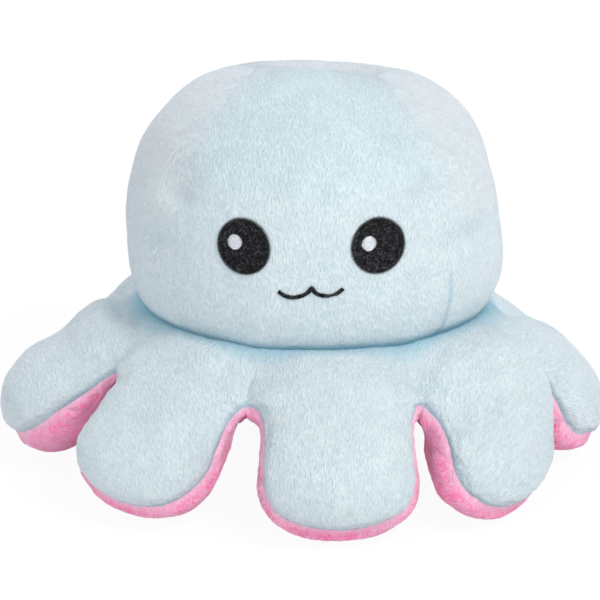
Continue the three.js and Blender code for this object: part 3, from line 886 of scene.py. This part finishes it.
def flat_disc(name, across, rings, fine, radius, width, gap):
    """A disc with its faces numbered by gore: 0 front, 1 right, 2 back, 3 left. The UV lays the gores
    side by side, gap apart. The function width gives the turn to measure, and the length of one radian."""
    bm = bmesh.new()
    draw_disc(bm, across, rings, fine, radius)
    layer = bm.loops.layers.uv.new("pile")
    for f in bm.faces:
        c = f.calc_center_median()
        gore = f.material_index = int(((math.atan2(c.y, c.x) / DEG + 135) % 360) // 90)
        f.smooth = True
        for loop in f.loops:
            x, y = loop.vert.co.x, loop.vert.co.y
            s = math.hypot(x, y)
            turn, radian = width(math.atan2(y, x), s)
            a = around(float(turn) - (gore - 1) * math.pi / 2) if s > 1e-6 else 0.0
            loop[layer].uv = (a * radian + gap * gore, -s)
    bmesh.ops.scale(bm, verts=bm.verts, vec=(MM, MM, MM))
    return new_object(bm, name)


# %% From the flat disc to the head
def spread_gores(az, r):
    """Near the crown the front and back gores widen, and the side gores run out in a point."""
    front = around(az + math.pi / 2)
    wide = 45 * DEG * 0.96 * np.exp(-np.maximum(r - 20, 0) / 9.0)
    quarter = [0, math.pi / 4, 3 * math.pi / 4, math.pi]
    a = np.abs(front)
    move = np.interp(a, quarter, [0, 1, -1, 0])
    return np.sign(front) * (a + move * wide) - math.pi / 2


def head_points(p):
    """Wraps disc points over the head's profile, then adds the swells and hollows of the stuffing."""
    s, az = polar(p)
    r, z = np.interp(s, arc, profile[:, 0]), np.interp(s, arc, profile[:, 1])
    q = from_polar(r, spread_gores(az, r), z)
    middle = np.array([0, 0, 85.0])
    way = (q - middle) / np.linalg.norm(q - middle, axis=1)[:, None]
    side = np.array([math.cos(SWING), math.sin(SWING), 0])
    top = np.array([-math.sin(SWING) * math.sin(ELEVATION), math.cos(SWING) * math.sin(ELEVATION),
                    math.cos(ELEVATION)])
    move = np.zeros(len(q))
    for degrees, amount in SWELLS:
        target = side * math.cos(degrees * DEG) + top * math.sin(degrees * DEG)
        near = np.arccos(np.clip(way @ target, -1, 1)) / (11 * DEG)
        move += amount * np.exp(-near ** 2 / 2)
    return q + way * (move * smooth((arc[-1] - s) / 12))[:, None]


def head_width(az, s):
    r = float(np.interp(s, arc, profile[:, 0]))
    return spread_gores(az, r), r


head = flat_disc("head", CAP, RINGS, FINE, float(arc[-1]), head_width, 200)
flat = read_points(head)[0]
write_points(head, head_points(flat))
face_outwards(head, (0, 0, 80))
print("head:", len(head.data.polygons), "faces")

# %% Dents, seams and gathers of the head
GROOVES = [45 * DEG, 135 * DEG, -45 * DEG, -135 * DEG]
# dents: x, y, z in millimetres on the head, across, down, depth
DENTS = [((41, -46, 103), 13, 5, 1.2), ((50, -36, 84), 16, 4, 1.1), ((28, -38, 122), 12, 5, 1.0),
         ((39, -43, 105), 11, 2.4, .85), ((-42, -41, 98), 9, 2.5, .7), ((-46, -40, 103), 12, 6, 1.1),
         ((-50, -36, 84), 11, 4, .9), ((8, 50, 108), 16, 6, 1.2), ((-30, 48, 90), 12, 5, 1.0)]
s, az = polar(flat)
p, n = read_points(head)
steps = np.arange(0, arc[-1], 0.35)
seams = head_points(np.concatenate([np.outer(steps, [math.cos(g), math.sin(g), 0]) for g in GROOVES]))
d, at = nearest(p, seams)
soft = 0.5 * noise(p, 17.0, 21) + 0.2 * noise(p, 8.0, 22)
for place, wide, tall, depth in DENTS:
    q = p - np.array(place)
    soft -= 2.3 * depth * hill(polar(q)[0], wide) * hill(q[:, 2], tall)
pucker = 0.2 * np.exp(-d / 5) * (1 - hill(d, 0.7)) * noise(seams[at], 3.0, 23)
groove = (-0.4 * hill(d, 0.8) - 0.35 * hill(d, 5)) * (1 - 0.85 * smooth((p[:, 2] - 76) / 18))
groove *= 0.35 + 0.65 * smooth(p[:, 0] / 20 + 0.5)
gather = 0.5 * np.exp(-(arc[-1] - s) / 6) * ring_noise(az, 3.4, 24)
keep = smooth((arc[-1] - s) / 2)
shape = p + n * ((soft + groove + pucker + gather) * keep)[:, None]
write_points(head, shape)
smooth_head = BVHTree.FromPolygons([Vector(v * MM) for v in shape],
                                   [tuple(f.vertices) for f in head.data.polygons])
p, n = read_points(head)
tufts = 0.10 * smooth(d / 1.2) * (noise(p, 1.0, 25) + 0.8 * noise(p, .62, 26))
write_points(head, p + n * tufts[:, None])
# the pile hides the seams, except low on the right, where the nap parts
hidden = 2.3 + 2 * smooth((p[:, 2] - 82) / 10) - 1.7 * smooth(p[:, 0] / 20) * smooth((80 - p[:, 2]) / 8)
# painted shade: the mark is also nought on the head's lowest 9 mm of cloth, so the head's underside by the neck
# takes the darker seam colour
mark(head, "seam_and_neck_shade_mm", np.minimum(d + hidden, np.maximum(arc[-1] - s - 9, 0) / 2))
# painted shade: marks the head's cloth at its tuck into the neck in the same way
mark(head, "neck_shade_mask", np.exp(-np.maximum(arc[-1] - s - 9.5, 0) / 1.6))
# painted sheen: the head's upper cloth is marked for a paler lavender tone on the side and back gores and a deeper
# blue on the front's crown
front_gore = np.abs(around(az + math.pi / 2)) < math.pi / 4
painted_sheen = np.where(front_gore, smooth((p[:, 2] - 96) / 20), -smooth((p[:, 2] - 82) / 20)) * smooth(d / 7)
mark(head, "painted_sheen", painted_sheen)
print("head's box:", p.min(0).round(1), p.max(0).round(1))

# %% [markdown]
# ## The pocket's lining
# Inside the blue head sits the other head, pushed up like a thumb into a glove: four pink gores.
# They are as large as the blue ones, so they stand in soft gathered folds where they are pushed
# together. The same flat disc is used, wrapped over a narrower dome, and folded along its length.

# %% Lining
LINING_RADIUS, LINING_SPRING, LINING_TOP, LINING_MOUTH = 26.0, 71.0, 93.0, 25.0
FULNESS = 1.4          # how much wider the cloth is than the pocket that it is pushed into
turn = np.linspace(math.pi / 2, 0, 40)
dome = [(LINING_RADIUS * math.cos(a), LINING_SPRING + (LINING_TOP - LINING_SPRING) * math.sin(a)) for a in turn]
mouth = [(LINING_RADIUS, LINING_MOUTH + 5), (LINING_RADIUS + 0.2, LINING_MOUTH + 1.8)]
inner_profile = np.array(dome + mouth)
inner_arc = travelled(inner_profile)
lining = flat_disc("lining", 16, 22, 2, float(inner_arc[-1]), lambda az, s: (az, LINING_RADIUS * FULNESS), 120)
s, az = polar(read_points(lining)[0])


def fold_noise(long, size, seed):
    """Noise in folds that run down the pocket, each about that long."""
    return noise(np.stack([np.cos(az) * 6, np.sin(az) * 6, s / long], -1), size, seed)


fold = fold_noise(30, 1.6, 31) + 0.5 * fold_noise(18, 0.8, 32)
r, z = np.interp(s, inner_arc, inner_profile[:, 0]), np.interp(s, inner_arc, inner_profile[:, 1])
deep = smooth(s / 25) * smooth((inner_arc[-1] - s) / 14)
off = np.min([np.abs(around(az - g)) for g in GROOVES], axis=0) * r
r = r + 1.9 * fold * deep + 0.7 * hill(off, 1.3) * deep
lump = 0.5 * noise(from_polar(r, az, z), 6.0, 33)
write_points(lining, from_polar(r + lump * deep, az, z + lump * (1 - deep)))
face_outwards(lining, (0, 0, 60))
lining.data.flip_normals()
mark(lining, "seam_and_neck_shade_mm", off)
print("lining:", len(lining.data.polygons), "faces")

# %% Cut the head and the lining into their gores
SIDES = ["front", "right", "back", "left"]
pieces.update(cut_pieces(head, ["head_gore_" + side for side in SIDES]))
pieces.update(cut_pieces(lining, ["lining_gore_" + side for side in SIDES]))
print("cloth pieces now:", len(pieces))

# %% [markdown]
# ## The embroidered face
# Machine embroidery is many short straight threads. Each stitch is one grain of thread, thick in
# its middle and dipping into the cloth at both ends. An eye is a filling of long stitches, crossed
# by a second layer, inside a border of stitches laid across the edge. The border's ends make the
# fine zig-zag round each eye.

# %% Laying one stitch on the head
def on_head(x, z, lift=0.0):
    """Where (x, z), in millimetres, falls on the head's front, raised by lift, and the normal there."""
    hit, normal = smooth_head.ray_cast(Vector((x * MM, -0.2, z * MM)), Vector((0, 1, 0)))[:2]
    if normal.y > 0:
        normal = -normal
    return hit + normal * lift * MM, normal


def stitch(bm, a, b, width, height, lift=0.0, sides=6):
    """One thread from a to b, given as (x, z) on the head's front."""
    pa, pb = on_head(*a, lift)[0], on_head(*b, lift)[0]
    pm, nm = on_head((a[0] + b[0]) / 2, (a[1] + b[1]) / 2, lift)
    along = pb - pa
    long = along.length / 2
    across = nm.cross(along).normalized()
    up = along.normalized().cross(across).normalized()
    if up.dot(nm) < 0:
        up = -up
    centre = (pa + pb) / 2 + nm * max(0.0, (pm - (pa + pb) / 2).dot(nm)) * 0.5
    made = bmesh.ops.create_uvsphere(bm, u_segments=sides, v_segments=6, radius=1.0)["verts"]
    for v in made:
        t = v.co.z
        ring = math.hypot(v.co.x, v.co.y)
        full = (1 - abs(t) ** 3) ** 0.5 if abs(t) < 1 else 0.0
        k = full / ring if ring > 1e-6 else 0.0
        v.co = (centre + along.normalized() * (t * long) + across * (v.co.x * k * width / 2 * MM)
                + up * ((v.co.y * k + 0.35 - 0.5 * t * t) * height / 2 * MM))


def stitched(name, bm):
    """Ends a bmesh of stitches and makes it an object."""
    for f in bm.faces:
        f.smooth = True
    bmesh.ops.recalc_face_normals(bm, faces=bm.faces)
    obj = new_object(bm, name)
    print(name, len(obj.data.polygons), "faces")
    return obj


# %% Eyes
EYE_CENTRES = {"left_eye": (-20.9, 87.4), "right_eye": (20.9, 88.0)}
EYE_HALF_WIDTH, EYE_HALF_HEIGHT, BORDER, BORDER_STITCHES = 8.35, 8.75, 1.9, 148
dice = np.random.default_rng(7)
for name, (cx, cz) in EYE_CENTRES.items():
    bm = bmesh.new()
    # dark cloth under the stitches: a disc whose corners are set down on the head
    bmesh.ops.create_circle(bm, cap_ends=True, cap_tris=True, segments=64, radius=1.0)
    bmesh.ops.subdivide_edges(bm, edges=bm.edges, cuts=5, use_grid_fill=True)
    for v in bm.verts:
        edge = min(1.0, v.co.length)
        x, z = cx + v.co.x * (EYE_HALF_WIDTH - .5), cz + v.co.y * (EYE_HALF_HEIGHT - .5)
        v.co = on_head(x, z, 0.3 - 0.5 * edge ** 6)[0]
    for row in np.arange(-EYE_HALF_HEIGHT + 1.6, EYE_HALF_HEIGHT - 1.5, 0.36):
        half = (EYE_HALF_WIDTH - 1.5) * math.sqrt(max(0, 1 - (row / (EYE_HALF_HEIGHT - 1.5)) ** 2))
        x = -half - dice.uniform(0, 2.5)
        while x < half:
            a, b = max(x, -half), min(x + dice.uniform(3.2, 4.4), half)
            if b - a > 0.5:
                stitch(bm, (cx + a, cz + row), (cx + b, cz + row + dice.uniform(-.15, .15)), 0.42, 0.34, 0.42)
            x = b + 0.01 if b > x else x + 1
    for i in range(34):
        a, r = dice.uniform(0, 2 * math.pi), math.sqrt(dice.uniform(0, .62))
        x, z = cx + math.cos(a) * r * EYE_HALF_WIDTH, cz + math.sin(a) * r * EYE_HALF_HEIGHT
        lean = dice.choice([0.9, -0.9]) + dice.uniform(-.2, .2)
        dx, dz = 1.3 * math.cos(lean), 1.3 * math.sin(lean)
        stitch(bm, (x - dx, z - dz), (x + dx, z + dz), 0.34, 0.3, 0.58)
    for i in range(BORDER_STITCHES):
        t = 2 * math.pi * i / BORDER_STITCHES
        outer = 1 + (0.034 if i % 2 else -0.022) + dice.uniform(-.006, .006)
        slant = 0.5 / EYE_HALF_WIDTH
        a = (cx + math.cos(t) * EYE_HALF_WIDTH * outer, cz + math.sin(t) * EYE_HALF_HEIGHT * outer)
        b = (cx + math.cos(t + slant) * (EYE_HALF_WIDTH - BORDER),
             cz + math.sin(t + slant) * (EYE_HALF_HEIGHT - BORDER))
        stitch(bm, a, b, 0.43, 0.62, 0.38)
    pieces[name] = stitched("stitched_" + name, bm)

# %% Highlights
SPOTS = {"left_highlight": (-23.4, 88.7), "right_highlight": (17.9, 89.0)}
for name, (cx, cz) in SPOTS.items():
    bm = bmesh.new()
    for row in np.arange(-2.1, 2.15, 0.30):
        half = 2.35 * (max(0, 1 - abs(row / 2.3) ** 1.9)) ** 0.55
        stitch(bm, (cx - half - dice.uniform(0, .15), cz + row),
               (cx + half + dice.uniform(0, .15), cz + row + .1), 0.38, 0.5, 0.95)
    pieces[name] = stitched("stitched_" + name, bm)

# %% Mouth
# the drawn line of the mouth, as (x, z) on the head
MOUTH = [(-10.1, 74.1), (-8.6, 72.9), (-6.0, 72.1), (-3.4, 72.5), (-1.4, 73.4), (-.3, 74.4), (.3, 75.6),
         (1.0, 74.4), (2.4, 73.3), (4.8, 72.8), (7.0, 73.1), (8.6, 73.8), (10.2, 75.1)]
path = spline(np.array([[(x, z, 0.0)] for x, z in MOUTH]))[:, 0, :2]
travel = travelled(path)


def on_path(t):
    return np.array([np.interp(t, travel, path[:, 0]), np.interp(t, travel, path[:, 1])])


bm = bmesh.new()
for t in np.arange(0.1, travel[-1], 0.27):
    x, z = on_path(t)
    way = on_path(t + .3) - (x, z)
    way = way / max(np.linalg.norm(way), 1e-6)
    half = (0.68 + dice.uniform(-.06, .16)) * (1 - 0.35 * hill(x - 6.6, 1.1))
    stitch(bm, (x - way[1] * half, z + way[0] * half),
           (x + way[1] * half + way[0] * .2, z - way[0] * half + way[1] * .2), 0.36, 0.6, 0.25)
pieces["mouth"] = stitched("stitched_mouth", bm)

# %% [markdown]
# ## Plush
# The pile is far too fine to model hair by hair at this distance. What the eye reads is streaks
# where tufts lean together, small tufts that catch the light, broad patches that have been brushed
# one way, and a soft bloom where the surface turns away. Streaks and tufts come from noise that is
# stretched along the nap on the flat pattern, and the bloom is the shader's own sheen.

# %% Colours and noise for the materials
def srgb(r, g, b):
    """A colour as a picture program writes it, made linear."""
    return tuple((c / 255 / 12.92 if c < 10 else ((c / 255 + 0.055) / 1.055) ** 2.4) for c in (r, g, b)) + (1,)


def grain(tree, vector, scale, detail, output="Fac"):
    return add(tree, "ShaderNodeTexNoise", {"Vector": vector, "Scale": scale, "Detail": detail}).outputs[output]


def stretched(tree, vector, x, y):
    return add(tree, "ShaderNodeMapping", {"Vector": vector, "Scale": (x, y, 1.0)}).outputs[0]


def weighed(tree, *terms):
    """The sum of (value, weight) terms."""
    total = math_node(tree, "MULTIPLY", *terms[0])
    for term in terms[1:]:
        total = math_node(tree, "ADD", total, math_node(tree, "MULTIPLY", *term))
    return total


def spread(tree, value, low, high, start=0.0, end=1.0):
    """Start where the value is low, end where it is high, and in between in between."""
    limits = {"Value": value, "From Min": low, "From Max": high, "To Min": start, "To Max": end}
    return add(tree, "ShaderNodeMapRange", limits).outputs[0]


def painted(tree, name):
    return add(tree, "ShaderNodeAttribute", attribute_name=name).outputs["Fac"]


# %% Plush material
# painted shade and painted glow for the shade round the neck under the head: a deeper blue to mix in, and a deep
# blue that it glows
PAINTED_NECK_SHADE, PAINTED_NECK_GLOW = srgb(128, 174, 190), srgb(84, 117, 124)
SHEEN_PAINT_PALE, SHEEN_PAINT_DEEP = (1.045, 0.995, 0.99, 1), (0.95, 1.0, 1.01, 1)
CONTRAST = 0.13          # the noise runs from dark to light this far either side of its middle


def plush(name, light, dark, fold, reach, patches, sheen, sheen_weight, glow, painted_glow_strength):
    """Pile cloth. Over the reach from the seams the colour goes towards fold: on the blue a darker line, partly
    the seam's own dark line and partly painted shade, which also paints shade under the head and round the neck;
    on the pink a paler edge, painted light. Patches are the brushed ones.
    """
    material = bpy.data.materials.new(name)
    tree = new_tree(material)
    flat = add(tree, "ShaderNodeUVMap", uv_map="pile").outputs["UV"]
    place = add(tree, "ShaderNodeTexCoord").outputs["Object"]
    wander = grain(tree, flat, 0.09, 1.0, "Color")
    bent = add(tree, "ShaderNodeVectorMath", {0: wander, "Scale": 3.0}, operation="SCALE").outputs[0]
    nap = add(tree, "ShaderNodeVectorMath", {0: flat, 1: bent}, operation="ADD").outputs[0]
    streak = grain(tree, stretched(tree, nap, 2.0, 0.6), 1.0, 2.0)
    tuft = grain(tree, flat, 2.6, 2.0)
    brushed = grain(tree, stretched(tree, nap, 0.28, 0.1), 1.0, 2.0)
    cloud = grain(tree, place, 55.0, 2.0)
    mixed = weighed(tree, (streak, 0.85), (tuft, 0.25), (brushed, patches), (cloud, 0.14))
    middle = 0.5 * (0.85 + 0.25 + 0.14 + patches)
    tone = mix_colours(tree, spread(tree, mixed, middle - CONTRAST, middle + CONTRAST), dark, light)
    # painted sheen: where the mark is below nought, high on the gores beside and behind the face, the colour is
    # paler and lavender, and above it, on the front's crown, a deeper blue
    painted_sheen_share = spread(tree, painted(tree, "painted_sheen"), -1.0, 1.0)
    tone = mix_colours(tree, 1.0, tone, mix_colours(tree, painted_sheen_share, SHEEN_PAINT_PALE, SHEEN_PAINT_DEEP), blend_type="MULTIPLY")
    # by the seams the colour goes towards fold: a darker blue line, partly painted shade, with painted shade round
    # the neck, and a paler pink edge, painted light
    tone = mix_colours(tree, spread(tree, painted(tree, "seam_and_neck_shade_mm"), 0.0, reach, 0.8, 0.0), tone, fold)
    # painted shade: close under the head, round the neck, the colour is mixed towards a deeper blue
    neck_shade_mask = painted(tree, "neck_shade_mask")
    tone = mix_colours(tree, math_node(tree, "MULTIPLY", neck_shade_mask, 0.85), tone, PAINTED_NECK_SHADE)
    height = weighed(tree, (streak, 0.8), (tuft, 0.4))
    bump = add(tree, "ShaderNodeBump", {"Height": height, "Strength": 1.0, "Distance": 0.0011})
    # the emission is painted light: an even glow on the pink, and on the blue a deep blue glow only in the shade
    # round the neck
    shader = add(tree, "ShaderNodeBsdfPrincipled", {
        "Base Color": tone, "Roughness": 0.92, "Specular IOR Level": 0.15,
        "Sheen Weight": sheen_weight, "Sheen Roughness": 0.38, "Sheen Tint": sheen,
        "Emission Color": mix_colours(tree, neck_shade_mask, glow, PAINTED_NECK_GLOW), "Emission Strength": painted_glow_strength,
        "Normal": bump.outputs[0]})
    add(tree, "ShaderNodeOutputMaterial", {"Surface": shader.outputs[0]})
    print(name, "has", len(tree.nodes), "nodes")
    return material


blue_plush = plush("blue_plush", light=srgb(229, 240, 242), dark=srgb(206, 225, 231), fold=srgb(156, 194, 213),
                   reach=2.2, patches=0.12, sheen=srgb(238, 232, 246), sheen_weight=0.45,
                   glow=(0, 0, 0, 1), painted_glow_strength=0.8)
# the pink glows a little all over, a painted glow that lifts its shaded sides; its paler fold colour paints light
# on the edges by the seams
pink_plush = plush("pink_plush", light=srgb(255, 188, 218), dark=srgb(252, 122, 176), fold=srgb(255, 214, 230),
                   reach=3.0, patches=0.55, sheen=srgb(255, 226, 240), sheen_weight=1.0,
                   glow=srgb(255, 150, 195), painted_glow_strength=0.10)


# %% Thread material
def thread(name, light, dark, roughness, gloss=0.4):
    """Glossy polyester thread: a fine grain of bump and colour, and a soft highlight. On the black thread the
    light grains are painted glints.
    """
    material = bpy.data.materials.new(name)
    tree = new_tree(material)
    place = add(tree, "ShaderNodeTexCoord").outputs["Object"]
    fibre, coarse_specks = grain(tree, place, 1500.0, 1.0), grain(tree, place, 500.0, 1.0)
    tone = mix_colours(tree, spread(tree, weighed(tree, (fibre, 0.8), (coarse_specks, 0.2)), 0.48, 0.68), dark, light)
    bump = add(tree, "ShaderNodeBump", {"Height": fibre, "Strength": 0.35, "Distance": 0.0002})
    shader = add(tree, "ShaderNodeBsdfPrincipled", {"Base Color": tone, "Roughness": roughness,
                                                    "Specular IOR Level": gloss, "Normal": bump.outputs[0]})
    add(tree, "ShaderNodeOutputMaterial", {"Surface": shader.outputs[0]})
    return material


threads = {
    # the black thread's light colour makes rare pale specks, painted glints on the black
    "black_thread": thread("black_thread", srgb(72, 72, 78), srgb(6, 6, 8), 0.45, 0.16),
    "white_thread": thread("white_thread", srgb(240, 240, 242), srgb(205, 208, 214), 0.45),
    "blue_thread": thread("blue_thread", srgb(150, 182, 204), srgb(118, 152, 178), 0.6),
    "pink_thread": thread("pink_thread", srgb(226, 130, 180), srgb(196, 96, 150), 0.6),
}
print("threads:", list(threads))

# %% [markdown]
# ## What rides on what
# Each piece of cloth replaces its CAD solid and the filling inside it. The skirt, the head and the
# face stay with the body. An arm's two sheets get no body: their place is only baked into their points.

for name, obj in pieces.items():
    if name in ("left_eye", "right_eye", "mouth"):
        material, slot = threads["black_thread"], "black_thread"
    elif name in ("left_highlight", "right_highlight"):
        material, slot = threads["white_thread"], "white_thread"
    elif "under" in name or "lining" in name:
        material, slot = pink_plush, "pink_plush"
    else:
        material, slot = blue_plush, "blue_plush"
    obj.data.materials.append(material)
    for face in obj.data.polygons:
        face.material_index = 0
    stands_for = [name]
    if name.startswith("arm"):
        k = int(name.split("_")[1])
        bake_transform(obj)
        if name.endswith("top"):
            stands_for.append("arm_%d_filling" % k)
    else:
        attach(obj, "body")
    if name == "skirt_top":
        stands_for.append("skirt_filling")
    if name == "head_gore_front":
        stands_for.append("head_filling")
    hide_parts(*stands_for)

for name, material in (("neck_seam", "blue_thread"), ("pocket_seam", "pink_thread")):
    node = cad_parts[name]
    for i in range(len(node.material_slots)):
        node.material_slots[i].material = threads[material]
print("pieces that replace CAD nodes:", len(pieces))
